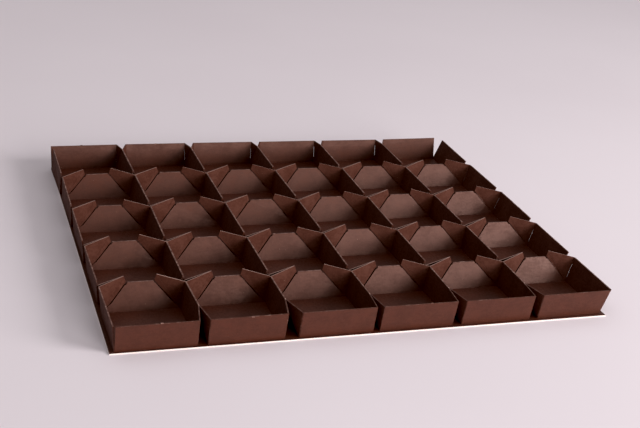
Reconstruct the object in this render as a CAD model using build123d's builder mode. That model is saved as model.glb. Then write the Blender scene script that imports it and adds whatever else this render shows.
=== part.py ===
"""Praline insert tray: a pleated card insert with thirty cells, glued on a flat base sheet.

Millimetres, +Z up, +X across the columns, +Y to the back. The origin is under the middle of the tray.
"""
import os

from build123d import *

# Driving dimensions
columns = 6
rows = 5
column_pitch = 34.0  # from ridge to ridge across the tray
row_pitch = 35.6  # from one row's back fold to the next row's back fold
card = 0.45  # thickness of the pleated sheet
base_card = 0.5  # thickness of the base sheet
ridge_height = 10.1  # top of the long pleats above the cell floor
pleat_foot = 4.5  # gap between neighbouring floors under a long pleat
fin_mouth = 5.1  # gap between the ridges of two rows, where the sheet turns into a fin
fin_reach = 10.7  # fin tip from the ridge line
fin_skew = 3.4  # fin tip behind the back fold of the row in front
fin_rise = 1.9  # fin tip above the ridges
ear_gap = 0.35  # cut between a fin and the top corner of the cross wall beside it
ear_drop = 1.3  # a fin's rear ear starts this far below the ridge of the row behind it
floor_inset_back = 2.2  # floor edge in front of the row's back fold
floor_inset_front = 0.3  # floor edge behind the row's front fold
back_row_inset = 0.2  # the same as floor_inset_back, in the back row
cross_ridge_height = 9.7  # top of the cross pleats above the cell floor
cross_ridge_length = 10.3  # flat top of a cross wall between its two bevels
cross_ridge_back = 3.2  # cross ridge behind the back fold of the row in front
front_wall_lean = 1.9  # top edge of the front walls in front of their foot
back_wall_lean = 1.9  # top edge of the back walls behind their foot
end_wall_height = 10.9  # front and back walls above the cell floor
front_slit = 11.2  # the ridge is slit this far back from the front floor edge
back_slit = 2.8  # the ridge is slit this far forward from the back floor edge
ridge_flat = 0.25  # the fold's crown, pressed flat
crease_cut_start = 3.0  # slits that ease the upright folds, below the top of the fold
crease_cut_length = 5.5
crease_cut_width = 0.3
base_left = 2.3  # base sheet beyond the outer floor edges
base_right = 0.9
base_front = 1.0
base_back = 1.6
base_turn = -0.3  # degrees that the base sheet is turned by about its front left corner

# Sizes and places that follow from them
floor_width = column_pitch - pleat_foot
foot = pleat_foot / 2
ridge_length = row_pitch - fin_mouth
floor_middle = base_card + card / 2
floor_top = base_card + card
ridge_top = floor_top + ridge_height
ridge_crossing = ridge_top + ridge_flat
fin_top = ridge_top + fin_rise
cross_top = floor_top + cross_ridge_height
cross_crossing = cross_top + ridge_flat
cross_end = (column_pitch - cross_ridge_length) / 2
end_wall_top = floor_top + end_wall_height
front_reach = max(base_front, front_wall_lean + card / 2) - floor_inset_front
back_reach = max(base_back, back_wall_lean + card / 2) - back_row_inset
lattice_depth = rows * row_pitch - fin_mouth
front_line = -(lattice_depth + back_reach - front_reach) / 2
outer_line = columns * column_pitch / 2
last_row = rows - 1


def front_fold(row):
    """Y of the fold at the front end of a row's ridges; row 0 is the front one."""
    return front_line + row * row_pitch


def back_fold(row):
    """Y of the fold at the back end of a row's ridges."""
    return front_fold(row) + ridge_length


def floor_front(row):
    """Y of the front edge of a row's floors."""
    return front_fold(row) + floor_inset_front


def floor_back(row):
    """Y of the back edge of a row's floors."""
    return back_fold(row) - (back_row_inset if row == last_row else floor_inset_back)


def panel(*corners, thickness=card, mode=Mode.ADD):
    """Adds one flat panel of card to the open part, through its first three corners."""
    first, second, third = (Vector(*corner) for corner in corners[:3])
    normal = (second - first).cross(third - first)
    plane = Plane(origin=first, x_dir=second - first, z_dir=normal)
    outline = [plane.to_local_coords(Vector(*corner)) for corner in corners]
    with BuildSketch(plane) as face:
        with BuildLine():
            Polyline(*[(corner.X, corner.Y) for corner in outline], close=True)
        make_face()
    extrude(face.sketch, amount=thickness / 2, both=True, mode=mode)


def side_wall(row, front_top, back_top):
    """One side wall of a cell, from its foot at x = foot up to the ridge at x = 0."""
    panel(
        (foot, floor_front(row), floor_middle),
        (foot, floor_back(row), floor_middle),
        (0, back_top, ridge_crossing),
        (0, front_top, ridge_crossing),
    )


def fin_tip(row):
    """The highest point of the fin between a row and the next row."""
    return (fin_reach, back_fold(row) + fin_skew, fin_top)


def rear_ear_corner(row):
    """Where the rear ear of a fin starts, on the front fold of the row behind it."""
    share = ear_drop / (ridge_top - floor_middle)
    return (foot * share, front_fold(row) + floor_inset_front * share, ridge_top - ear_drop)


def fin(row):
    """The two ears that run from the walls of a row and the next row to one tip."""
    tip_foot = (cross_end - ear_gap, back_fold(row) + fin_skew, cross_top)
    panel(
        (foot, floor_back(row), floor_middle),
        fin_tip(row),
        (0, back_fold(row), ridge_top),
    )
    panel(
        (foot, floor_back(row), floor_middle),
        tip_foot,
        fin_tip(row),
    )
    panel(
        (foot, floor_front(row + 1), floor_middle),
        fin_tip(row),
        rear_ear_corner(row + 1),
    )
    panel(
        (foot, floor_front(row + 1), floor_middle),
        tip_foot,
        fin_tip(row),
    )


def crease_cut(fold_top, fold_foot, wall_ahead, wall_beside, mode):
    """A narrow slit through the fold between two walls; each wall is given by a way along it."""
    down = (Vector(*fold_foot) - Vector(*fold_top)).normalized()
    start = Vector(*fold_top) + down * crease_cut_start
    end = start + down * crease_cut_length
    across = (wall_ahead.normalized() + wall_beside.normalized()).normalized() * foot
    panel(start - across, end - across, end + across, start + across, thickness=crease_cut_width, mode=mode)


# One side of a long pleat inside the tray: its ends open in a V towards the end walls
with BuildPart() as pleat_side:
    for row in range(rows):
        slit_front = floor_front(row) + front_slit
        slit_back = floor_back(row) - back_slit
        side_wall(
            row,
            slit_front if row == 0 else front_fold(row),
            slit_back if row == last_row else back_fold(row),
        )
    split(bisect_by=Plane.XY.offset(ridge_top), keep=Keep.BOTTOM)
    for row in range(last_row):
        fin(row)
    panel(
        (foot, floor_front(0), floor_middle),
        (foot, floor_front(0) - front_wall_lean, end_wall_top),
        (0, floor_front(0) + front_slit, ridge_top),
    )
    panel(
        (foot, floor_back(last_row), floor_middle),
        (foot, floor_back(last_row) + back_wall_lean, end_wall_top),
        (0, floor_back(last_row) - back_slit, ridge_top),
    )

# The tray's outer side wall has the same fins, and plain ends
with BuildPart() as outer_side:
    for row in range(rows):
        side_wall(
            row,
            floor_front(row) if row == 0 else front_fold(row),
            floor_back(row) if row == last_row else back_fold(row),
        )
    split(bisect_by=Plane.XY.offset(ridge_top), keep=Keep.BOTTOM)
    for row in range(last_row):
        fin(row)
        fold_top = (0, back_fold(row), ridge_top)
        crease_cut(
            fold_top,
            (foot, floor_back(row), floor_middle),
            Vector(0, -1, 0),
            Vector(*fin_tip(row)) - Vector(*fold_top),
            Mode.SUBTRACT,
        )

# The slit at the fold between a back wall and the gusset beside it
with BuildPart() as corner_slit:
    fold_top = (foot, floor_back(last_row) + back_wall_lean, end_wall_top)
    crease_cut(
        fold_top,
        (foot, floor_back(last_row), floor_middle),
        Vector(1, 0, 0),
        Vector(0, floor_back(last_row) - back_slit, ridge_top) - Vector(*fold_top),
        Mode.ADD,
    )

# A cross pleat between two rows: two bevelled walls under one short ridge
with BuildPart() as cross_pleat:
    ridge_y = back_fold(0) + cross_ridge_back
    for foot_y in (floor_back(0), floor_front(1)):
        panel(
            (-floor_width / 2, foot_y, floor_middle),
            (floor_width / 2, foot_y, floor_middle),
            (cross_ridge_length / 2, ridge_y, cross_crossing),
            (-cross_ridge_length / 2, ridge_y, cross_crossing),
        )
    split(bisect_by=Plane.XY.offset(cross_top), keep=Keep.BOTTOM)

# The front and back walls of one column
with BuildPart() as end_walls:
    for foot_y, lean in ((floor_front(0), -front_wall_lean), (floor_back(last_row), back_wall_lean)):
        panel(
            (-floor_width / 2, foot_y, floor_middle),
            (floor_width / 2, foot_y, floor_middle),
            (floor_width / 2, foot_y + lean, end_wall_top),
            (-floor_width / 2, foot_y + lean, end_wall_top),
        )

# The whole pleated sheet
with BuildPart() as pleated_insert:
    for row in range(rows):
        with BuildSketch(Plane.XY.offset(base_card)):
            with Locations((0, (floor_front(row) + floor_back(row)) / 2)):
                with GridLocations(column_pitch, row_pitch, columns, 1):
                    Rectangle(floor_width, floor_back(row) - floor_front(row))
        extrude(amount=card)
    with GridLocations(column_pitch, row_pitch, columns, 1):
        add(end_walls.part)
    with Locations((0, row_pitch * (rows - 2) / 2)):
        with GridLocations(column_pitch, row_pitch, columns, rows - 1):
            add(cross_pleat.part)
    with GridLocations(column_pitch, row_pitch, columns - 1, 1):
        add(pleat_side.part)
        add(mirror(pleat_side.part, about=Plane.YZ, mode=Mode.PRIVATE))
    with GridLocations(column_pitch, row_pitch, columns - 1, 1):
        add(corner_slit.part, mode=Mode.SUBTRACT)
        add(mirror(corner_slit.part, about=Plane.YZ, mode=Mode.PRIVATE), mode=Mode.SUBTRACT)
    with Locations((-outer_line, 0)):
        add(outer_side.part)
    with Locations((outer_line, 0)):
        add(mirror(outer_side.part, about=Plane.YZ, mode=Mode.PRIVATE))

# The base sheet that the floors are glued on
with BuildPart() as base_sheet:
    left = -outer_line + foot - base_left
    right = outer_line - foot + base_right
    front = floor_front(0) - base_front
    back = floor_back(last_row) + base_back
    with BuildSketch():
        with Locations(Location((left, front, 0), (0, 0, base_turn))):
            Rectangle(right - left, back - front, align=Align.MIN)
    extrude(amount=base_card)

pleated_insert.part.label = "pleated_insert"
base_sheet.part.label = "base_sheet"

os.makedirs("parts", exist_ok=True)
export_step(pleated_insert.part, "parts/pleated_insert.step")
export_step(base_sheet.part, "parts/base_sheet.step")
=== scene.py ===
"""Praline insert tray: the looks of a pleated card insert that is glued on a flat base sheet.

Metres, +Z up, +X across the columns, +Y to the back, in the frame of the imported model.
"""
import logging
import math
from dataclasses import dataclass
from enum import Enum

import bmesh
import bpy
import numpy as np
from mathutils import Matrix, Vector


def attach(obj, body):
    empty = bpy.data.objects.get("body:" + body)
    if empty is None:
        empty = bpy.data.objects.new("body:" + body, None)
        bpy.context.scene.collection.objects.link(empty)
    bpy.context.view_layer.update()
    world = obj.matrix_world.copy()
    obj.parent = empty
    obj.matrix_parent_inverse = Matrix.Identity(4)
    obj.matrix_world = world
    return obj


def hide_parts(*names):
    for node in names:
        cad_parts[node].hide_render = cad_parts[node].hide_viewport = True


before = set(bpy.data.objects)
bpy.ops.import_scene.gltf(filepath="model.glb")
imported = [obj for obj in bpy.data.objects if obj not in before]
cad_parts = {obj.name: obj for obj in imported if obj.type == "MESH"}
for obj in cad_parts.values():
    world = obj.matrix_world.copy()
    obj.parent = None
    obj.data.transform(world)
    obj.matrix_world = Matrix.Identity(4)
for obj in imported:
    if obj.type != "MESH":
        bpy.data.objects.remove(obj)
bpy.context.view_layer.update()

MM = 0.001
BODY = "root"
TINY = 1e-18
Colour = tuple[float, float, float]
Pair = tuple[float, float]
Triple = tuple[float, float, float]
Arrays = tuple[np.ndarray, np.ndarray]
DAYLIGHT: Colour = (1.0, 0.97, 0.985)

logging.basicConfig(level=logging.INFO, format="%(name)s: %(message)s")
log = logging.getLogger("praline_tray")


class Slot(Enum):
    """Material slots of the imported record."""

    BASE = "base_card"
    INSERT = "insert_card"


class Exposure(Enum):
    """How pale a face of the card is made with the core colour: the core at cut edges, a painted highlight on
    upward rims, and on fold crowns partly cracked coat, partly a painted highlight.
    """

    COAT = 0.0
    EDGE = 0.27
    # Fold crowns and die nicks: cracked coat and torn pale fibres, and on the crowns also a painted
    # highlight.
    PALE_FIBRE_AND_SHEEN = 0.38
    # Upward cut rims: fully pale, a painted highlight of their rounded rims.
    CUT = 1.0


# Scene helpers
def add_object(name: str, data: bpy.types.ID) -> bpy.types.Object:
    """Adds an object to the scene.

    Args:
        name: the object's name.
        data: its mesh, light or camera.

    Returns:
        The new object.
    """
    added = bpy.data.objects.new(name, data)
    bpy.context.scene.collection.objects.link(added)
    return added


def direction(bearing: float, height: float) -> Vector:
    """Gives the direction to a place so many degrees to the right of straight ahead and above the table."""
    turn, rise = math.radians(bearing), math.radians(height)
    return Vector((math.sin(turn) * math.cos(rise), -math.cos(turn) * math.cos(rise), math.sin(rise)))


# Shader helpers
class NodeSketch:
    """Adds nodes to one tree and links them by socket."""

    def __init__(self, tree: bpy.types.NodeTree) -> None:
        """Keeps the tree that the nodes go to."""
        self.tree = tree

    @classmethod
    def material(cls, name: str) -> tuple[bpy.types.Material, "NodeSketch", bpy.types.NodeInputs]:
        """Starts a material.

        Args:
            name: the material's name.

        Returns:
            The material, a sketch of its nodes, and the inputs of its shader.
        """
        material = bpy.data.materials.new(name)
        material.use_nodes = True
        return material, cls(material.node_tree), material.node_tree.nodes["Principled BSDF"].inputs

    def add(self, kind: str, **settings: object) -> bpy.types.Node:
        """Adds one node.

        Args:
            kind: the node's type name.
            settings: properties that are set on the node.

        Returns:
            The new node.
        """
        node = self.tree.nodes.new(kind)
        for name, value in settings.items():
            setattr(node, name, value)
        return node

    def feed(self, target: bpy.types.NodeSocket, source: object) -> None:
        """Links a socket to the target, or sets the target to a plain value.

        Args:
            target: the socket that is fed.
            source: a socket, a number or a colour.
        """
        if isinstance(source, bpy.types.NodeSocket):
            self.tree.links.new(source, target)
        else:
            target.default_value = source

    def math(self, operation: str, first: object, second: object = 0.0) -> bpy.types.NodeSocket:
        """Adds a Math node.

        Args:
            operation: the operation's name.
            first: a socket or a number.
            second: a socket or a number.

        Returns:
            The node's output.
        """
        node = self.add("ShaderNodeMath", operation=operation)
        self.feed(node.inputs[0], first)
        self.feed(node.inputs[1], second)
        return node.outputs[0]

    def total(self, *parts: tuple[bpy.types.NodeSocket, float]) -> bpy.types.NodeSocket:
        """Adds up sockets times their weights.

        Args:
            parts: each socket and its weight.

        Returns:
            The sum.
        """
        first, *others = (self.math("MULTIPLY", socket, weight) for socket, weight in parts)
        for other in others:
            first = self.math("ADD", first, other)
        return first

    def ramp(self, value: bpy.types.NodeSocket, band: Pair,
             to_low: object = 0.0, to_high: object = 1.0) -> bpy.types.NodeSocket:
        """Adds a smooth Map Range node.

        Args:
            value: the socket that is mapped.
            band: value that gives to_low, and value that gives to_high.
            to_low: a socket or a number.
            to_high: a socket or a number.

        Returns:
            The mapped value.
        """
        node = self.add("ShaderNodeMapRange", interpolation_type="SMOOTHSTEP")
        self.feed(node.inputs["Value"], value)
        node.inputs["From Min"].default_value, node.inputs["From Max"].default_value = band
        self.feed(node.inputs["To Min"], to_low)
        self.feed(node.inputs["To Max"], to_high)
        return node.outputs["Result"]

    def blend(self, share: object, first: object, second: object) -> bpy.types.NodeSocket:
        """Adds a colour Mix node.

        Args:
            share: share of the second colour.
            first: a socket or a colour.
            second: a socket or a colour.

        Returns:
            The mixed colour.
        """
        node = self.add("ShaderNodeMix", data_type="RGBA")
        self.feed(node.inputs[0], share)
        self.feed(node.inputs[6], first)
        self.feed(node.inputs[7], second)
        return node.outputs[2]

    def noise(self, place: bpy.types.NodeSocket, scale: object, detail: float,
              roughness: float = 0.5) -> bpy.types.NodeSocket:
        """Adds a Noise Texture node.

        Args:
            place: coordinates in millimetres.
            scale: features per millimetre.
            detail: number of octaves.
            roughness: share of the finer octaves.

        Returns:
            The noise between 0 and 1.
        """
        node = self.add("ShaderNodeTexNoise")
        self.feed(node.inputs["Vector"], place)
        self.feed(node.inputs["Scale"], scale)
        node.inputs["Detail"].default_value = detail
        node.inputs["Roughness"].default_value = roughness
        return node.outputs[0]

    def millimetres(self, stretch: Triple = (1.0, 1.0, 1.0)) -> bpy.types.NodeSocket:
        """Gives Object coordinates in millimetres.

        Args:
            stretch: factor along each axis.

        Returns:
            The coordinates.
        """
        place = self.add("ShaderNodeTexCoord")
        scaled = self.add("ShaderNodeMapping")
        scaled.inputs["Scale"].default_value = tuple(axis / MM for axis in stretch)
        self.feed(scaled.inputs["Vector"], place.outputs["Object"])
        return scaled.outputs["Vector"]


def rgba(colour: Colour) -> tuple[float, float, float, float]:
    """Adds an alpha of one to a colour."""
    return (*colour, 1.0)


class ShaderGroups:
    """Node groups that more than one material places with its own values.

    The sizes of their patterns are in features per millimetre.
    """

    FIBRE = "card_fibre"
    CORE = "pale_core"
    COLOUR = "NodeSocketColor"
    NUMBER = "NodeSocketFloat"
    CLOUDS = 0.16
    FELT_ALONG = (0.5, 1.5, 1.3)
    FELT_ACROSS = (1.5, 0.6, 1.3)
    GRAINS = 5.0
    SPECKS = 0.30
    SPECK_EDGE = (0.035, 0.06)
    SPECK_SHARE = 0.35
    TONES = (0.38, 0.62)
    CHIPS = 0.55
    FIBRES = 3.0
    CORE_ROUGHNESS = 0.85

    @staticmethod
    def empty(name: str, given: dict[str, str], result: dict[str, str]) -> NodeSketch:
        """Starts a group with its sockets.

        Args:
            name: the group's name.
            given: names and kinds of its inputs.
            result: names and kinds of its outputs.

        Returns:
            A sketch of the new group.
        """
        group = bpy.data.node_groups.new(name, "ShaderNodeTree")
        for way, sockets in (("INPUT", given), ("OUTPUT", result)):
            for socket, kind in sockets.items():
                group.interface.new_socket(name=socket, in_out=way, socket_type=kind)
        return NodeSketch(group)

    @classmethod
    def fibre(cls) -> bpy.types.NodeTree:
        """Card surface: cloudy formation, felted fibres and a few pale flecks.

        Returns:
            The group, built at its first use.
        """
        if cls.FIBRE in bpy.data.node_groups:
            return bpy.data.node_groups[cls.FIBRE]
        sketch = cls.empty(cls.FIBRE, {"Light": cls.COLOUR, "Deep": cls.COLOUR, "Fleck": cls.COLOUR,
                                       "Contrast": cls.NUMBER, "Smooth": cls.NUMBER, "Rough": cls.NUMBER},
                           {"Color": cls.COLOUR, "Roughness": cls.NUMBER, "Height": cls.NUMBER})
        given = sketch.add("NodeGroupInput").outputs
        result = sketch.add("NodeGroupOutput").inputs

        plain = sketch.millimetres()
        cloud = sketch.noise(plain, cls.CLOUDS, 3.0)
        along = sketch.noise(sketch.millimetres(cls.FELT_ALONG), 1.0, 2.0)
        across = sketch.noise(sketch.millimetres(cls.FELT_ACROSS), 1.0, 2.0)
        felt = sketch.math("MULTIPLY", sketch.math("ADD", along, across), 0.5)
        grain = sketch.noise(plain, cls.GRAINS, 2.0)

        mix = sketch.total((cloud, 0.4), (felt, 0.6))
        tone = sketch.math("MULTIPLY", sketch.ramp(mix, cls.TONES), given["Contrast"])
        body = sketch.blend(tone, given["Light"], given["Deep"])

        specks = sketch.add("ShaderNodeTexVoronoi")
        sketch.feed(specks.inputs["Vector"], plain)
        specks.inputs["Scale"].default_value = cls.SPECKS
        spot = sketch.ramp(specks.outputs["Distance"], cls.SPECK_EDGE, 1.0, 0.0)
        fleck = sketch.math("MULTIPLY", spot, sketch.ramp(grain, (0.5, 0.6)))
        share = sketch.math("MULTIPLY", fleck, cls.SPECK_SHARE)
        sketch.feed(result["Color"], sketch.blend(share, body, given["Fleck"]))
        sketch.feed(result["Roughness"], sketch.ramp(mix, cls.TONES, given["Smooth"], given["Rough"]))
        sketch.feed(result["Height"], sketch.total((felt, 0.35), (grain, 0.15), (cloud, 1.2)))
        return sketch.tree

    @classmethod
    def core(cls) -> bpy.types.NodeTree:
        """Pale core colour mixed into the coat: the core at cut edges, and, broken up, painted highlights on
        fold crowns and upward rims.

        Returns:
            The group, built at its first use.
        """
        if cls.CORE in bpy.data.node_groups:
            return bpy.data.node_groups[cls.CORE]
        sketch = cls.empty(cls.CORE, {"Coat": cls.COLOUR, "Core": cls.COLOUR,
                                      "Coat Roughness": cls.NUMBER, "Exposure": cls.NUMBER},
                           {"Color": cls.COLOUR, "Roughness": cls.NUMBER})
        given = sketch.add("NodeGroupInput").outputs
        result = sketch.add("NodeGroupOutput").inputs

        plain = sketch.millimetres()
        chips = sketch.noise(plain, cls.CHIPS, 4.0, 0.6)
        fibres = sketch.noise(plain, cls.FIBRES, 2.0)
        broken = sketch.math("ADD", sketch.math("MULTIPLY", given["Exposure"], 1.2),
                             sketch.math("SUBTRACT", chips, 0.5))
        shown = sketch.math("MULTIPLY", sketch.ramp(broken, (0.25, 1.0)),
                            sketch.ramp(fibres, (0.1, 0.6), 0.75, 1.0))
        sketch.feed(result["Color"], sketch.blend(shown, given["Coat"], given["Core"]))
        rough = sketch.add("ShaderNodeMix", data_type="FLOAT")
        sketch.feed(rough.inputs[0], shown)
        sketch.feed(rough.inputs[2], given["Coat Roughness"])
        rough.inputs[3].default_value = cls.CORE_ROUGHNESS
        sketch.feed(result["Roughness"], rough.outputs[0])
        return sketch.tree


class EdgeSource(Enum):
    """Where a card material reads its exposed core and painted highlights from."""

    ATTRIBUTE = "the face attribute of a piece"
    FACING = "any face that doesn't look up"


@dataclass(frozen=True)
class CardFinish:
    """Brown coated card with a pale core.

    Attributes:
        name: the material's name.
        light: lighter colour of the coat.
        deep: darker colour of the coat.
        fleck: colour of the few pale fibres.
        core: colour of the card inside, also used to paint the highlights on fold crowns and upward rims.
        contrast: share of the darker colour.
        smooth: lowest roughness of the coat.
        rough: highest roughness of the coat.
        sheen: strength of the coat's gloss.
        gloss: colour of the coat's gloss.
        relief: depth of the surface's unevenness in metres.
        strength: strength of that unevenness.
        nap: the coat is rougher by this much where its grain runs up a wall.
        edges: where the exposed core and the painted highlights are read from.
        level: a face whose direction has more than this upwards looks up.
    """

    name: str
    light: Colour = (0.064, 0.0178, 0.0098)
    deep: Colour = (0.042, 0.0110, 0.0060)
    fleck: Colour = (0.42, 0.27, 0.20)
    core: Colour = (0.82, 0.73, 0.67)
    contrast: float = 0.75
    smooth: float = 0.36
    rough: float = 0.54
    sheen: float = 0.42
    gloss: Colour = (1.0, 0.66, 0.56)
    relief: float = 0.13 * MM
    strength: float = 0.6
    nap: float = 0.40
    edges: EdgeSource = EdgeSource.ATTRIBUTE
    level: float = 0.5

    def material(self) -> bpy.types.Material:
        """Builds the finish.

        Returns:
            The new material.
        """
        material, sketch, shader = NodeSketch.material(self.name)
        fibre = sketch.add("ShaderNodeGroup", node_tree=ShaderGroups.fibre())
        core = sketch.add("ShaderNodeGroup", node_tree=ShaderGroups.core())
        for name, value in (("Light", rgba(self.light)), ("Deep", rgba(self.deep)),
                            ("Fleck", rgba(self.fleck)), ("Contrast", self.contrast),
                            ("Smooth", self.smooth), ("Rough", self.rough)):
            fibre.inputs[name].default_value = value
        core.inputs["Core"].default_value = rgba(self.core)
        sketch.feed(core.inputs["Coat"], fibre.outputs["Color"])
        sketch.feed(core.inputs["Coat Roughness"], fibre.outputs["Roughness"])
        sketch.feed(core.inputs["Exposure"], self.exposure(sketch))
        sketch.feed(shader["Base Color"], core.outputs["Color"])
        grain = sketch.add("ShaderNodeAttribute", attribute_name=CardSheet.GRAIN).outputs["Fac"]
        nap = sketch.math("MULTIPLY", grain, self.nap)
        sketch.feed(shader["Roughness"], sketch.math("ADD", core.outputs["Roughness"], nap))
        shader["Specular IOR Level"].default_value = self.sheen
        shader["Specular Tint"].default_value = rgba(self.gloss)
        bump = sketch.add("ShaderNodeBump")
        bump.inputs["Strength"].default_value = self.strength
        bump.inputs["Distance"].default_value = self.relief
        sketch.feed(bump.inputs["Height"], fibre.outputs["Height"])
        sketch.feed(shader["Normal"], bump.outputs["Normal"])
        return material

    def exposure(self, sketch: NodeSketch) -> bpy.types.NodeSocket:
        """Adds the nodes that say where the core colour shows, painted highlights included.

        Args:
            sketch: the material's own nodes.

        Returns:
            A mask, 1 on the base's cut edges and on the insert's rims with a painted highlight.
        """
        if self.edges is EdgeSource.ATTRIBUTE:
            return sketch.add("ShaderNodeAttribute", attribute_name=CardSheet.EXPOSURE).outputs["Fac"]
        facing = sketch.add("ShaderNodeSeparateXYZ")
        sketch.feed(facing.inputs[0], sketch.add("ShaderNodeTexCoord").outputs["Normal"])
        return sketch.math("LESS_THAN", facing.outputs["Z"], self.level)


@dataclass(frozen=True)
class TableFinish:
    """Pale matt table top.

    Attributes:
        name: the material's name.
        light: lighter colour.
        deep: darker colour.
        clouds: clouds per millimetre.
        tones: range of the clouds that runs from light to deep.
        smooth: lowest roughness.
        rough: highest roughness.
        sheen: strength of the gloss.
    """

    name: str = "pale_table"
    light: Colour = (0.80, 0.73, 0.76)
    deep: Colour = (0.77, 0.70, 0.73)
    clouds: float = 0.004
    tones: Pair = (0.3, 0.7)
    smooth: float = 0.75
    rough: float = 0.85
    sheen: float = 0.3

    def material(self) -> bpy.types.Material:
        """Builds the finish: a faint cloud in the colour and a matt gloss.

        Returns:
            The new material.
        """
        material, sketch, shader = NodeSketch.material(self.name)
        cloud = sketch.noise(sketch.millimetres(), self.clouds, 3.0)
        tone = sketch.ramp(cloud, self.tones)
        sketch.feed(shader["Base Color"], sketch.blend(tone, rgba(self.light), rgba(self.deep)))
        sketch.feed(shader["Roughness"], sketch.ramp(cloud, self.tones, self.smooth, self.rough))
        shader["Specular IOR Level"].default_value = self.sheen
        return material


# Sheets of card
class CardSheet:
    """Array work that the pieces of card share. Points that round to one WELD place become one."""

    EXPOSURE = "exposure"
    GRAIN = "grain"
    WELD = 0.004 * MM
    BOX = ((0, 1, 2, 3), (7, 6, 5, 4), (0, 4, 5, 1), (1, 5, 6, 2), (2, 6, 7, 3), (3, 7, 4, 0))

    @staticmethod
    def welded(mesh: bpy.types.Mesh) -> Arrays:
        """Reads a mesh as triangles between shared points, without those that have no area left.

        Args:
            mesh: the mesh that is read.

        Returns:
            The points and the triangles between them.
        """
        points = np.empty(len(mesh.vertices) * 3, dtype=np.float32)
        mesh.vertices.foreach_get("co", points)
        points = points.reshape(-1, 3).astype(float)
        mesh.calc_loop_triangles()
        triangles = np.empty(len(mesh.loop_triangles) * 3, dtype=np.int32)
        mesh.loop_triangles.foreach_get("vertices", triangles)
        places = np.round(points / CardSheet.WELD).astype(np.int64)
        _, first, place = np.unique(places, axis=0, return_index=True, return_inverse=True)
        triangles = place.reshape(-1)[triangles].reshape(-1, 3)
        proper = np.all(triangles != np.roll(triangles, 1, axis=1), axis=1)
        return points[first], triangles[proper]

    @staticmethod
    def facing(points: np.ndarray, triangles: np.ndarray) -> Arrays:
        """Works out the direction and the area of each triangle, from the cross product of two sides.

        Args:
            points: corner points.
            triangles: corners of each triangle.

        Returns:
            The directions, of length one, and the areas.
        """
        corners = points[triangles]
        normal = np.cross(corners[:, 1] - corners[:, 0], corners[:, 2] - corners[:, 0])
        double = np.linalg.norm(normal, axis=1)
        return normal / np.maximum(double, TINY)[:, None], double / 2

    @staticmethod
    def mesh(name: str, points: np.ndarray, faces: np.ndarray) -> bpy.types.Mesh:
        """Makes a mesh.

        Args:
            name: the mesh's name.
            points: corner points.
            faces: corners of each face.

        Returns:
            The new mesh.
        """
        mesh = bpy.data.meshes.new(name)
        mesh.from_pydata(points.tolist(), [], faces.tolist())
        mesh.update()
        return mesh

    @staticmethod
    def boxes(name: str, corners: np.ndarray) -> bpy.types.Mesh:
        """Makes a mesh of boxes from eight corners each: around one end, then around the other."""
        faces = np.arange(0, corners.size // 3, 8)[:, None, None] + np.array(CardSheet.BOX)
        return CardSheet.mesh(name, corners.reshape(-1, 3), faces.reshape(-1, 4))

    @staticmethod
    def mark(mesh: bpy.types.Mesh, name: str, values: np.ndarray) -> None:
        """Adds a face attribute with one value for each face."""
        attribute = mesh.attributes.new(name, "FLOAT", "FACE")
        attribute.data.foreach_set("value", values.astype(np.float32))

    @staticmethod
    def place(name: str, mesh: bpy.types.Mesh, material: bpy.types.Material, slot: Slot) -> bpy.types.Object:
        """Puts a piece in the scene, at the origin, riding on the body.

        Args:
            name: the piece's name.
            mesh: its mesh, with its place in it.
            material: its finish.
            slot: not used.

        Returns:
            The new object.
        """
        piece = add_object(name, mesh)
        mesh.materials.append(material)
        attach(piece, BODY)
        return piece


@dataclass(frozen=True)
class FoldGrid:
    """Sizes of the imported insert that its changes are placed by, in millimetres.

    Attributes:
        columns: cells across the tray.
        crossings: cross pleats from front to back.
        column_pitch: distance between the ridges.
        row_pitch: distance between the cross pleats.
        foot: half of the gap between two floors.
        floor_middle: height of the middle of the floors' card.
        floor_top: height of the cell floors.
        ridge_top: height of the long ridges.
        wall_top: height of the front and back walls.
        wall_lean: top edge of a back wall behind its foot.
        ridge_end: place along Y of the back end of the front row's ridges.
        ridge_gap: gap between the ridges of two rows.
        floor_inset: a floor's back edge before its ridges' back end, and its front edge behind their start.
        fin_tip: a fin's tip from the end of the ridge: across, back and up.
        ear_corner: top inner corner of an ear: distance from the ridge line, and height.
        cross_ridge: top of a cross pleat: distance behind the end of the ridges, and height.
        back_floor: place along Y of the back edge of the back floors.
        back_slit: the ridges are slit this far forward from there.
        depth: the front and back walls stand beyond this distance from the middle.
    """

    columns: int = 6
    crossings: int = 4
    column_pitch: float = 34.0
    row_pitch: float = 35.6
    foot: float = 2.25
    floor_middle: float = 0.725
    floor_top: float = 0.95
    ridge_top: float = 11.05
    wall_top: float = 11.85
    wall_lean: float = 1.9
    ridge_end: float = -56.0
    ridge_gap: float = 5.1
    floor_inset: Pair = (2.2, 0.3)
    fin_tip: Triple = (10.7, 3.4, 1.9)
    ear_corner: Pair = (11.5, 10.65)
    cross_ridge: Pair = (3.2, 10.9)
    back_floor: float = 86.2
    back_slit: float = 2.8
    depth: float = 86.0

    @property
    def outer(self) -> float:
        """Distance of the outer ridges from the middle."""
        return self.columns * self.column_pitch / 2

    @property
    def legs(self) -> Pair:
        """Places along Y of the feet of the front cross pleat's two walls."""
        ahead, behind = self.floor_inset
        return self.ridge_end - ahead, self.ridge_end + self.ridge_gap + behind

    def from_crossing(self, points: np.ndarray, behind: float) -> np.ndarray:
        """Gives each point's way along Y, in metres, to the nearest place so far behind a ridge."""
        places = (self.ridge_end + behind + self.row_pitch * np.arange(self.crossings)) * MM
        return np.min(np.abs(points[:, 1:2] - places), axis=1)


GRID = FoldGrid()


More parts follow.
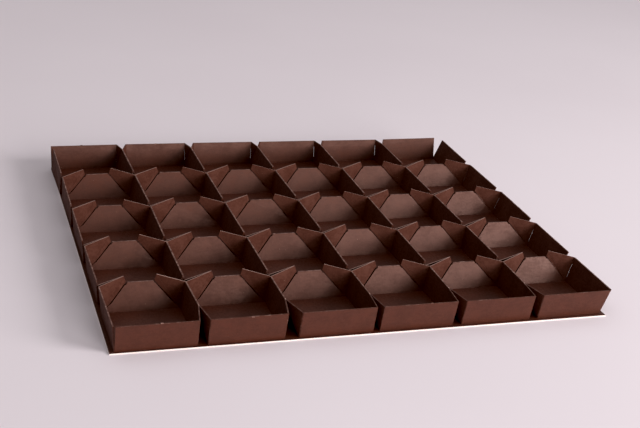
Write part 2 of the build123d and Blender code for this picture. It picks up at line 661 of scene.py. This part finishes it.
@dataclass(frozen=True)
class WallShift:
    """How far an outer side wall stands off its even place, in millimetres towards the right.

    Attributes:
        side: -1 for the left wall, 1 for the right wall.
        top: shift of its top edge at the front, in the middle and at the back.
        foot: shift of its foot at the same three places.
        ends: shift of the top corner of the front wall and of the back wall beside it.
        whole: the shift is whole up to this far inside the wall's ridge.
        fade: the shift fades out over this distance inside that.
        beyond: the end walls' corners stand more than this beyond the side wall's ends.
    """

    side: int
    top: Triple
    foot: Triple
    ends: Pair
    whole: float = 3.0
    fade: float = 9.0
    beyond: float = 0.45

    def shift(self, points: np.ndarray, rise: np.ndarray) -> np.ndarray:
        """Works out the shift: it runs evenly from foot to top and fades out inwards.

        The end walls stand beyond the side wall's ends, and their corners have shifts of their own.

        Args:
            points: points of the even sheet, in metres.
            rise: height of each point, 0 at the floors and 1 at the ridges.

        Returns:
            One shift along X for each point, in metres.
        """
        across, along = points[:, 0] / MM, points[:, 1] / MM
        places = np.array([-GRID.depth, 0.0, GRID.depth])
        foot = np.interp(along, places, self.foot)
        top = np.interp(along, places, self.top)
        ends = np.where(along < 0, self.ends[0], self.ends[1])
        top = np.where(np.abs(along) > GRID.depth + self.beyond, ends, top)
        inside = np.clip((GRID.outer - self.whole - self.side * across) / self.fade, 0.0, 1.0)
        return (foot + (top - foot) * rise) * (1.0 - inside) * MM


@dataclass(frozen=True)
class Crease:
    """One kind of upright fold with a slit in it that the folding has pressed narrower.

    Attributes:
        top: top of the fold in millimetres, from its pleat's ridge line at the middle of the tray.
        foot: foot of the fold.
        ahead: way along one of the two walls.
        beside: way along the other wall.
        places: ridge line, side and row shift of each such fold.
        start: the slit starts this far below the top.
        end: the slit ends this far below the top.
        near: the slit's edges lie closer than this to the fold's line.
        width: half of the slit's even width, and a little more.
        shut: share of the width that is pressed shut.
    """

    top: Triple
    foot: Triple
    ahead: Triple
    beside: Triple
    places: tuple[Triple, ...]
    start: float = 2.9
    end: float = 8.6
    near: float = 1.2
    width: float = 0.17
    shut: float = 0.34

    @classmethod
    def outer_walls(cls) -> "Crease":
        """Places the folds between the outer side walls and the front ears of their fins.

        Returns:
            The folds at both sides of the tray.
        """
        places = tuple((-GRID.outer * side, side, GRID.row_pitch * row)
                       for side in (1.0, -1.0) for row in range(GRID.crossings))
        return cls((0.0, GRID.ridge_end, GRID.ridge_top), (GRID.foot, GRID.legs[0], GRID.floor_middle),
                   (0.0, -1.0, 0.0), GRID.fin_tip, places)

    @classmethod
    def back_walls(cls) -> "Crease":
        """Places the folds between the back walls and the gussets beside them.

        Returns:
            The folds at both sides of each inner ridge.
        """
        inner = range(1 - GRID.columns // 2, GRID.columns // 2)
        places = tuple((GRID.column_pitch * line, side, 0.0) for side in (1.0, -1.0) for line in inner)
        gusset = (-GRID.foot, -GRID.back_slit - GRID.wall_lean, GRID.ridge_top - GRID.wall_top)
        return cls((GRID.foot, GRID.back_floor + GRID.wall_lean, GRID.wall_top),
                   (GRID.foot, GRID.back_floor, GRID.floor_middle), (1.0, 0.0, 0.0), gusset, places)

    def press(self, points: np.ndarray) -> np.ndarray:
        """Moves the edges of the slits towards the slits' middle planes.

        Args:
            points: points of the sheet, in metres.

        Returns:
            The moved points.
        """
        moved = points / MM
        for line, side, row in self.places:
            flip = np.array([side, 1.0, 1.0])
            top = np.array(self.top) * flip + np.array([line, row, 0.0])
            down = (np.array(self.foot) - np.array(self.top)) * flip
            down /= np.linalg.norm(down)
            walls = [np.array(way) * flip / np.linalg.norm(way) for way in (self.ahead, self.beside)]
            normal = np.cross(down, walls[0] + walls[1])
            normal /= np.linalg.norm(normal)
            away = moved - top
            depth, off = away @ down, away @ normal
            near = np.linalg.norm(away - depth[:, None] * down, axis=1) < self.near
            edge = near & (depth > self.start) & (depth < self.end) & (np.abs(off) < self.width)
            moved = moved - np.where(edge, off * self.shut, 0.0)[:, None] * normal
        return moved * MM


@dataclass(frozen=True)
class EarSlits:
    """Open slits between the ears of the fins and the cross walls beside them, in millimetres.

    Attributes:
        outline: corners of a slit: share of the ear's inner edge, and distance from that edge.
        reach: half of the depth that is cut.
    """

    outline: tuple[Pair, ...] = ((0.13, 0.05), (0.35, 0.45), (1.06, 0.50), (1.06, 0.05))
    reach: float = 1.0

    def wedge(self, leg: float) -> np.ndarray:
        """Works out the corners of one wedge: the slit's outline in the wall's plane, moved both ways.

        Args:
            leg: place along Y of the wall's foot.

        Returns:
            Eight corners, from the ridge line at the middle of the tray.
        """
        ridge_back, ridge_top = GRID.cross_ridge
        across, height = GRID.ear_corner
        start = np.array([GRID.foot, leg, GRID.floor_middle])
        up = np.array([0.0, GRID.ridge_end + ridge_back - leg, ridge_top - GRID.floor_middle])
        up /= np.linalg.norm(up)
        away = np.cross(up, [1.0, 0.0, 0.0])
        edge = np.array([across, GRID.ridge_end + GRID.fin_tip[1], height]) - start
        edge -= (edge @ away) * away
        inwards = np.cross(edge, away) / np.linalg.norm(edge)
        inwards *= np.sign(inwards[0])
        share, off = np.array(self.outline).T
        face = start + share[:, None] * edge + off[:, None] * inwards
        return np.concatenate([face - self.reach * away, face + self.reach * away])

    def wedges(self) -> bpy.types.Mesh:
        """Makes the wedges of both walls, at both sides of every cell and at every cross pleat.

        Returns:
            The new mesh.
        """
        single = np.stack([self.wedge(leg) for leg in GRID.legs])
        mirrored = np.stack([single, single * np.array([-1.0, 1.0, 1.0])])
        left = np.arange(GRID.columns) * GRID.column_pitch - GRID.outer
        lines = np.stack([left, left + GRID.column_pitch])
        rows = np.arange(GRID.crossings) * GRID.row_pitch
        across = lines[:, :, None, None, None, None] * np.array([1.0, 0.0, 0.0])
        along = rows[None, None, :, None, None, None] * np.array([0.0, 1.0, 0.0])
        mesh = CardSheet.boxes("slit_wedges", (mirrored[:, None, None] + across + along) * MM)
        outwards = bmesh.new()
        outwards.from_mesh(mesh)
        bmesh.ops.recalc_face_normals(outwards, faces=outwards.faces[:])
        outwards.to_mesh(mesh)
        outwards.free()
        return mesh

    def cut(self, points: np.ndarray, triangles: np.ndarray) -> Arrays:
        """Cuts the slits: the sheet without the wedges. The sheet touches itself, so the cut allows that.

        Args:
            points: points of the even sheet.
            triangles: corners of each triangle.

        Returns:
            The points and triangles of the slit sheet.
        """
        meshes = [CardSheet.mesh("whole_sheet", points, triangles), self.wedges()]
        sheet, wedges = (add_object(mesh.name, mesh) for mesh in meshes)
        slits = sheet.modifiers.new("slits", "BOOLEAN")
        slits.operation = "DIFFERENCE"
        slits.solver = "EXACT"
        slits.use_self = True
        slits.object = wedges
        graph = bpy.context.evaluated_depsgraph_get()
        meshes.append(bpy.data.meshes.new_from_object(sheet.evaluated_get(graph)))
        result = CardSheet.welded(meshes[-1])
        for piece in (sheet, wedges):
            bpy.data.objects.remove(piece)
        for mesh in meshes:
            bpy.data.meshes.remove(mesh)
        return result


@dataclass(frozen=True)
class EdgeRule:
    """What counts as a cut edge, an upward rim that gets a painted highlight, and a fold crown.

    Attributes:
        steps: steps that a direction is rounded to where triangles of one plane are gathered.
        plane_gap: planes closer than this are one.
        strip: a cut edge is narrower than this.
        least: a cut edge has more area than this.
        sharp: a cut edge turns more than this from the faces beside it, 0 for level and 1 for square.
        upward: the direction of a rim that gets a painted highlight has more than this upwards.
        level: a crown's direction has more than this upwards.
        even: a crown's corners differ less than this in height.
        clear: a crown is more than this above the floors.
    """

    steps: int = 60
    plane_gap: float = 0.08 * MM
    strip: float = 0.62 * MM
    least: float = 1.5 * MM**2
    sharp: float = 0.25
    upward: float = 0.9
    level: float = 0.99
    even: float = 0.02 * MM
    clear: float = 2.0 * MM

    def flats(self, points: np.ndarray, triangles: np.ndarray) -> tuple[np.ndarray, np.ndarray, np.ndarray]:
        """Measures the flats that the triangles make: the triangles of one plane are one flat.

        A flat's width is twice its area over the length of its outline. Its bend is the mean turn from
        the flats beside it, by length, and a turn is one less the cosine of the angle.

        Args:
            points: corner points.
            triangles: corners of each triangle.

        Returns:
            The area, width and bend of each triangle's flat.
        """
        normal, area = CardSheet.facing(points, triangles)
        away = np.einsum("ij,ij->i", normal, points[triangles].mean(axis=1))
        planes = np.column_stack([np.round(normal * self.steps), np.round(away / self.plane_gap)])
        _, flat = np.unique(planes.astype(np.int64), axis=0, return_inverse=True)
        flat = flat.reshape(-1)
        total = np.bincount(flat, area)

        ends = np.stack([triangles, np.roll(triangles, -1, axis=1)], axis=2)
        edges, edge = np.unique(np.sort(ends, axis=2).reshape(-1, 2), axis=0, return_inverse=True)
        edge = edge.reshape(-1)
        length = np.linalg.norm(points[edges[:, 0]] - points[edges[:, 1]], axis=1)
        order = np.argsort(edge, kind="stable")
        shared = np.flatnonzero(np.bincount(edge) == 2)
        first = np.searchsorted(edge[order], shared)
        pair = np.stack([order[first], order[first + 1]], axis=1) // 3
        apart = flat[pair[:, 0]] != flat[pair[:, 1]]
        pair, rim = pair[apart], length[shared[apart]]
        turn = 1.0 - np.abs(np.einsum("ij,ij->i", normal[pair[:, 0]], normal[pair[:, 1]]))
        outline, bend = (np.bincount(flat[pair].ravel(), np.repeat(value, 2), minlength=len(total))
                         for value in (rim, rim * turn))
        outline = np.maximum(outline, TINY)
        return total[flat], (2 * total / outline)[flat], (bend / outline)[flat]

    def exposure(self, points: np.ndarray, triangles: np.ndarray) -> np.ndarray:
        """Says how much of the pale core colour each triangle gets, painted highlights included.

        A flat about as narrow as the card is thick that turns sharply from its neighbours is a cut edge.
        The cut edges that look up between the end walls get all of the core colour, a painted highlight of
        their rounded rims. A level face that stands above the floors is a fold crown; its paleness is partly
        cracked coat and partly a painted highlight.

        Args:
            points: corner points.
            triangles: corners of each triangle.

        Returns:
            One exposure for each triangle.
        """
        normal, _ = CardSheet.facing(points, triangles)
        area, width, bend = self.flats(points, triangles)
        along, height = points[triangles, 1], points[triangles, 2]
        raised = height.mean(axis=1) > GRID.floor_top * MM + self.clear
        # Fold crowns: painted paler, partly cracked coat and partly a painted highlight of the rounded fold.
        crown = (normal[:, 2] > self.level) & (np.ptp(height, axis=1) < self.even) & raised
        cut = (width < self.strip) & (area > self.least) & (bend > self.sharp)
        # Painted highlight: upward cut rims between the end walls get the full core colour.
        rim_highlight = cut & (normal[:, 2] > self.upward) & (np.abs(along).max(axis=1) < GRID.depth * MM)
        exposure = np.full(len(triangles), Exposure.COAT.value)
        exposure[cut] = Exposure.EDGE.value
        exposure[rim_highlight] = Exposure.CUT.value
        exposure[crown] = Exposure.PALE_FIBRE_AND_SHEEN.value
        return exposure


@dataclass
class PleatedInsert:
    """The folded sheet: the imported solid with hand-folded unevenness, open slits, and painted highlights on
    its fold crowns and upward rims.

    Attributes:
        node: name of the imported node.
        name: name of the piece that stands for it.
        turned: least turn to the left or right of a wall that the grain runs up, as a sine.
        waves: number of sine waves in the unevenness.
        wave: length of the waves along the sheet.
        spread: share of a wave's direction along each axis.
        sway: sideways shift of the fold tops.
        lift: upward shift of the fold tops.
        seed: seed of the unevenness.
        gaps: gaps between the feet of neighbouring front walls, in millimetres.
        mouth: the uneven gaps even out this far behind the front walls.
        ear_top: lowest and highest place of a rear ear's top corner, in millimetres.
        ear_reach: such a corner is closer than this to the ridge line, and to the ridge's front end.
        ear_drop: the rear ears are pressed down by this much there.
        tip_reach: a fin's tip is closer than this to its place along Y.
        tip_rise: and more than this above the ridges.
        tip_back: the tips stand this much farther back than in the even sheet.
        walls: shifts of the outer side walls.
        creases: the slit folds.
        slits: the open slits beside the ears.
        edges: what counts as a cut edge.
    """

    node: str = "pleated_insert"
    name: str = "folded_insert"
    turned: float = 0.12
    waves: int = 12
    wave: float = 26.0 * MM
    spread: Triple = (0.6, 0.6, 0.2)
    sway: float = 0.14 * MM
    lift: float = 0.10 * MM
    seed: int = 7
    gaps: tuple[float, ...] = (4.1, 6.0, 2.9, 4.0, 3.9)
    mouth: float = 14.0 * MM
    ear_top: Pair = (9.1, 10.5)
    ear_reach: Pair = (1.1 * MM, 0.9 * MM)
    ear_drop: float = 0.9 * MM
    tip_reach: float = 0.8 * MM
    tip_rise: float = 0.9 * MM
    tip_back: float = 0.4 * MM
    walls: tuple[WallShift, ...] = (WallShift(-1, (0.9, 0.45, 1.7), (-0.4, -0.75, -1.7), (-0.8, -1.6)),
                                    WallShift(1, (0.0, 1.0, 2.0), (-1.1, -0.6, 0.0), (0.0, 0.0)))
    creases: tuple[Crease, ...] = (Crease.outer_walls(), Crease.back_walls())
    slits: EarSlits = EarSlits()
    edges: EdgeRule = EdgeRule()

    def fin_tips(self, points: np.ndarray) -> np.ndarray:
        """Gives one shift along Y for each point: the fins' tips move back, so that each ear is one plane."""
        near = GRID.from_crossing(points, GRID.fin_tip[1]) < self.tip_reach
        return np.where(near & (points[:, 2] > GRID.ridge_top * MM + self.tip_rise), self.tip_back, 0.0)

    def rear_ears(self, points: np.ndarray) -> np.ndarray:
        """Presses the rear ears of the fins down along the folds that they start from.

        Args:
            points: points of the even sheet.

        Returns:
            One shift for each point.
        """
        pitch = GRID.column_pitch * MM
        off = points[:, 0] - np.round(points[:, 0] / pitch) * pitch
        row = GRID.from_crossing(points, GRID.ridge_gap)
        low, high = (height * MM for height in self.ear_top)
        across, along = self.ear_reach
        corner = (np.abs(off) < across) & (row < along) & (points[:, 2] > low) & (points[:, 2] < high)
        slope = GRID.foot / (GRID.ridge_top - GRID.floor_top)
        way = np.column_stack([np.sign(off) * slope, np.zeros(len(points)), -np.ones(len(points))])
        return np.where(corner[:, None], way * self.ear_drop, 0.0)

    def front_gaps(self, points: np.ndarray) -> np.ndarray:
        """Opens or closes the gaps between the front walls.

        Both sides of a gap move by half of what the gap differs from the even one. The shift fades out
        towards the middle of the cells and behind the front walls.

        Args:
            points: points of the even sheet.

        Returns:
            One shift along X for each point.
        """
        pitch, foot = GRID.column_pitch * MM, GRID.foot * MM
        extra = (np.array(self.gaps) * MM - 2 * foot) / 2
        middle = len(extra) // 2
        number = np.round(points[:, 0] / pitch).astype(int)
        change = np.where(np.abs(number) <= middle, extra[np.clip(number + middle, 0, len(extra) - 1)], 0.0)
        off = points[:, 0] - number * pitch
        beside = np.clip(1.0 - (np.abs(off) - foot) / (pitch / 2 - foot), 0.0, 1.0)
        ahead = np.clip((self.mouth - GRID.depth * MM - points[:, 1]) / self.mouth, 0.0, 1.0)
        return change * np.clip(off / foot, -1.0, 1.0) * beside * ahead

    def grain(self, points: np.ndarray, triangles: np.ndarray) -> np.ndarray:
        """Gives one for each triangle that is turned to the left or right, where the grain runs up a wall."""
        normal, _ = CardSheet.facing(points, triangles)
        return (np.abs(normal[:, 0]) > self.turned).astype(float)

    def uneven(self, points: np.ndarray) -> np.ndarray:
        """Shifts the points as hand folding does.

        The shift is a sum of sine waves of random direction and phase, times the height above the
        floors, so the floors stay flat and the thickness of the card is kept. The ears, the slit folds,
        the fin tips, the outer walls and the front gaps have shifts of their own.

        Args:
            points: points of the even sheet.

        Returns:
            The shifted points.
        """
        random = np.random.default_rng(self.seed)
        waves = random.normal(size=(self.waves, 3)) * (2 * math.pi / self.wave) * np.array(self.spread)
        phase = random.uniform(0, 2 * math.pi, size=(self.waves, 3))
        swing = np.sin((points @ waves.T)[:, :, None] + phase[None]).sum(axis=1) / math.sqrt(self.waves / 2)
        height = points[:, 2] / MM - GRID.floor_top
        rise = np.clip(height / (GRID.ridge_top - GRID.floor_top), 0.0, 1.0)
        pressed = points + self.rear_ears(points)
        for crease in self.creases:
            pressed = crease.press(pressed)
        shifted = pressed + swing * rise[:, None] * np.array([self.sway, self.sway, self.lift])
        shifted[:, 0] += self.front_gaps(points)
        shifted[:, 1] += self.fin_tips(points)
        for wall in self.walls:
            shifted[:, 0] += wall.shift(points, rise)
        return shifted

    def build(self, finish: CardFinish) -> bpy.types.Object:
        """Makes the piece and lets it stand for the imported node.

        Args:
            finish: the card.

        Returns:
            The new object.
        """
        points, triangles = CardSheet.welded(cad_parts[self.node].data)
        log.info("read %s: %d triangles", self.node, len(triangles))
        points, triangles = self.slits.cut(points, triangles)
        mesh = CardSheet.mesh(self.name, self.uneven(points), triangles)
        CardSheet.mark(mesh, CardSheet.EXPOSURE, self.edges.exposure(points, triangles))
        CardSheet.mark(mesh, CardSheet.GRAIN, self.grain(points, triangles))
        piece = CardSheet.place(self.name, mesh, finish.material(), Slot.INSERT)
        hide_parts(self.node)
        return piece


@dataclass
class DieNicks:
    """Small stubs on the top edges of the end walls, where the die left the blank joined to its sheet.

    Attributes:
        name: the piece's name.
        front: places of the stubs on the front walls, from the left, in millimetres.
        back: places of the stubs on the back walls.
        edge: distance of the stubs' middles from the middle of the tray, along Y.
        size: size of one stub.
    """

    name: str = "die_nicks"
    front: tuple[float, ...] = (-83.9, -50.4, -18.0, 21.0)
    back: tuple[float, ...] = (-87.2, -51.0)
    edge: float = 88.07
    size: Triple = (1.0, 0.34, 0.42)

    def build(self, finish: CardFinish) -> bpy.types.Object:
        """Makes the stubs: one box for each place, let into the wall by half of its height.

        Args:
            finish: the card.

        Returns:
            The new object.
        """
        across = np.array(self.front + self.back)
        along = np.repeat([-self.edge, self.edge], [len(self.front), len(self.back)])
        middles = np.column_stack([across, along, np.full(len(across), GRID.wall_top)])
        signs = np.array([[-1, -1, 1], [1, -1, 1], [1, 1, 1], [-1, 1, 1],
                          [-1, -1, -1], [1, -1, -1], [1, 1, -1], [-1, 1, -1]])
        mesh = CardSheet.boxes(self.name, (middles[:, None] + signs * np.array(self.size) / 2) * MM)
        CardSheet.mark(mesh, CardSheet.EXPOSURE, np.full(len(mesh.polygons), Exposure.PALE_FIBRE_AND_SHEEN.value))
        return CardSheet.place(self.name, mesh, finish.material(), Slot.INSERT)


@dataclass
class BaseSheet:
    """The flat sheet under the insert, as packed.

    Attributes:
        node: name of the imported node.
    """

    node: str = "base_sheet"

    def dress(self, finish: CardFinish) -> bpy.types.Object:
        """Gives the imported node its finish.

        Args:
            finish: the card.

        Returns:
            The node's object.
        """
        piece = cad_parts[self.node]
        piece.data.materials.clear()
        piece.data.materials.append(finish.material())
        return piece


# Table, light and camera
@dataclass
class Table:
    """A wide pale table top.

    Attributes:
        radius: its reach in metres.
        rings: rings of faces.
        spokes: faces around.
    """

    radius: float = 6.0
    rings: int = 12
    spokes: int = 48

    def build(self, finish: TableFinish) -> bpy.types.Object:
        """Makes the table: a disc whose rings widen with the square of their number.

        Args:
            finish: the table's finish.

        Returns:
            The new object.
        """
        ring, spoke = np.meshgrid(np.arange(1, self.rings + 1), np.arange(self.spokes), indexing="ij")
        reach = self.radius * (ring / self.rings) ** 2
        turn = spoke * 2 * math.pi / self.spokes
        points = np.stack([reach * np.cos(turn), reach * np.sin(turn), np.zeros_like(reach)], axis=2)
        here = (ring[:-1] - 1) * self.spokes + spoke[:-1]
        beside = (ring[:-1] - 1) * self.spokes + (spoke[:-1] + 1) % self.spokes
        faces = np.stack([here, here + self.spokes, beside + self.spokes, beside], axis=2)
        mesh = bpy.data.meshes.new("table")
        middle = list(range(self.spokes))
        mesh.from_pydata(points.reshape(-1, 3).tolist(), [], [*faces.reshape(-1, 4).tolist(), middle])
        mesh.materials.append(finish.material())
        table = add_object("table", mesh)
        return table


@dataclass(frozen=True)
class SoftLight:
    """One round soft light that looks at the tray.

    Attributes:
        name: the light's name.
        bearing: degrees to the right of straight ahead.
        height: degrees above the table.
        distance: metres from the tray.
        size: diameter in metres.
        power: watts.
    """

    name: str
    bearing: float
    height: float
    distance: float
    size: float
    power: float

    def build(self) -> bpy.types.Object:
        """Makes the light.

        Returns:
            The light's object.
        """
        place = direction(self.bearing, self.height) * self.distance
        light = bpy.data.lights.new(self.name, "AREA")
        light.shape = "DISK"
        light.size = self.size
        light.energy = self.power
        light.color = DAYLIGHT
        lamp = add_object(self.name, light)
        lamp.location = place
        lamp.rotation_mode = "QUATERNION"
        lamp.rotation_quaternion = (-place).to_track_quat("-Z", "Y")
        return lamp


@dataclass
class Studio:
    """A low light from the right, a weaker one from the front, a wide one overhead and a faint glow.

    Attributes:
        key: the low light from the right.
        front: the weaker light from the front.
        overhead: the wide light above the table.
        around: strength of the light from all around.
        black: light that is shown as black.
    """

    key: SoftLight = SoftLight("key_light", 53.0, 22.0, 1.3, 0.60, 16.5)
    front: SoftLight = SoftLight("front_light", 15.0, 9.0, 1.3, 0.60, 11.6)
    overhead: SoftLight = SoftLight("overhead_light", 180.0, 80.0, 1.2, 2.2, 5.6)
    around: float = 0.25
    black: float = 0.0036

    def build(self) -> list[bpy.types.Object]:
        """Makes the lights.

        Returns:
            The soft lights' objects.
        """
        world = bpy.data.worlds.new("studio")
        world.use_nodes = True
        glow = world.node_tree.nodes["Background"]
        glow.inputs["Color"].default_value = rgba(DAYLIGHT)
        glow.inputs["Strength"].default_value = self.around
        bpy.context.scene.world = world
        view = bpy.context.scene.view_settings
        view.view_transform = "Standard"
        view.use_curve_mapping = True
        view.curve_mapping.black_level = (self.black, self.black, self.black)
        view.curve_mapping.update()
        return [light.build() for light in (self.key, self.front, self.overhead)]


@dataclass
class PhotoCamera:
    """Camera at the photograph's angle.

    Attributes:
        azimuth: degrees to the right of straight ahead.
        elevation: degrees above the table.
        roll: degrees, turning the camera anticlockwise.
        distance: metres to the target.
        target: the point that is looked at.
        focal: focal length in pixels of the photograph.
        width: width of the photograph in pixels.
        sensor: width of the sensor in millimetres.
    """

    azimuth: float = -21.1706
    elevation: float = 23.4181
    roll: float = 6.2355
    distance: float = 513.4575 * MM
    target: Triple = (4.4471 * MM, -1.9623 * MM, 11.75 * MM)
    focal: float = 1161.4633
    width: int = 640
    sensor: float = 36.0

    def build(self) -> bpy.types.Object:
        """Makes the camera: its axes are right, up and back, and right and up are rolled.

        Returns:
            The camera's object.
        """
        roll = math.radians(self.roll)
        back = direction(self.azimuth, self.elevation)
        right = (-back).cross(Vector((0.0, 0.0, 1.0))).normalized()
        up = right.cross(-back)
        side = right * math.cos(roll) + up * math.sin(roll)
        top = up * math.cos(roll) - right * math.sin(roll)
        lens = bpy.data.cameras.new("camera")
        lens.sensor_fit = "HORIZONTAL"
        lens.sensor_width = self.sensor
        lens.lens = self.focal / self.width * self.sensor
        camera = add_object("camera", lens)
        turn = Matrix((side, top, back)).transposed().to_4x4()
        camera.matrix_world = Matrix.Translation(Vector(self.target) + back * self.distance) @ turn
        bpy.context.scene.camera = camera
        return camera


def main() -> None:
    """Builds the tray, the table, the light and the camera."""
    base_card = CardFinish("base_card", edges=EdgeSource.FACING)
    # Its core colour also paints the highlights on fold crowns and upward rims.
    insert_card = CardFinish("insert_card", core=(0.50, 0.32, 0.27))
    made = [BaseSheet().dress(base_card), PleatedInsert().build(insert_card), DieNicks().build(insert_card),
            Table().build(TableFinish()), *Studio().build(), PhotoCamera().build()]
    for piece in made:
        log.info("made %s", piece.name)


if __name__ == "__main__":
    main()
